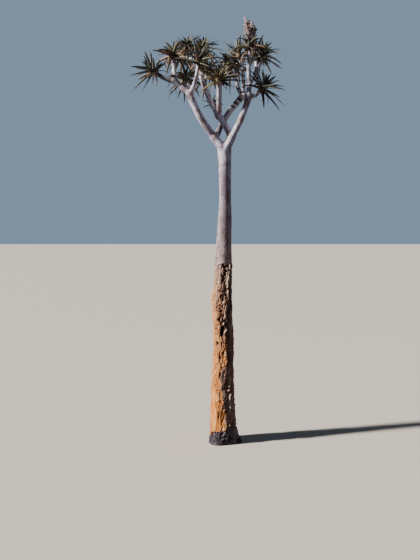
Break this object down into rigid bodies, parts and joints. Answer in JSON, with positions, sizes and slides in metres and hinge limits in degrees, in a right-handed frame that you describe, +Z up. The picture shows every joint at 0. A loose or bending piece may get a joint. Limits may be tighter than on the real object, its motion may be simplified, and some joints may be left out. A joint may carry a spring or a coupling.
{
  "type": "kokerboom tree",
  "caption": "Tall single-stemmed kokerboom tree: a bare tapering trunk with flaking bark, forking at its head into smooth boughs that each end in a rosette of succulent leaves.",
  "frame": {"origin": "the middle of the flat cut under the trunk, at ground level", "axes": "+Z up, +X to the right and +Y to the back as seen from the pictured side"},
  "size_m": [1.8163, 1.4295, 5],
  "materials": {
    "trunk_bark": "rough golden-brown bark, split and flaking below, smooth and grey above",
    "branch_bark": "smooth pale grey bark with a waxy bloom",
    "leaves": "semi-matt waxy olive leaves, dry and brown at the tips"
  },
  "bodies": {
    "root": {"bough_behind": "branch_bark", "bough_left": "branch_bark", "bough_left_long": "branch_bark", "bough_middle": "branch_bark", "bough_right": "branch_bark", "bough_right_long": "branch_bark", "branch_back": "branch_bark", "branch_back_inner": "branch_bark", "branch_back_left": "branch_bark", "branch_back_right": "branch_bark", "branch_far_left": "branch_bark", "branch_far_right": "branch_bark", "branch_front": "branch_bark", "branch_inner": "branch_bark", "branch_inner_near": "branch_bark", "branch_inner_right": "branch_bark", "branch_left": "branch_bark", "branch_left_high": "branch_bark", "branch_left_inner": "branch_bark", "branch_left_low": "branch_bark", "branch_left_near": "branch_bark", "branch_middle": "branch_bark", "branch_middle_high": "branch_bark", "branch_right": "branch_bark", "branch_right_high": "branch_bark", "branch_right_outer": "branch_bark", "branch_sprout": "branch_bark", "branch_top": "branch_bark", "branch_top_left": "branch_bark", "branch_top_middle": "branch_bark", "branch_top_right": "branch_bark", "rosette_back": "leaves", "rosette_back_inner": "leaves", "rosette_back_left": "leaves", "rosette_back_right": "leaves", "rosette_far_left": "leaves", "rosette_far_right": "leaves", "rosette_front": "leaves", "rosette_inner_near": "leaves", "rosette_inner_right": "leaves", "rosette_left_high": "leaves", "rosette_left_low": "leaves", "rosette_left_near": "leaves", "rosette_right_outer": "leaves", "rosette_sprout": "leaves", "rosette_top_left": "leaves", "rosette_top_middle": "leaves", "rosette_top_right": "leaves", "trunk": "trunk_bark"}
  },
  "joints": []
}
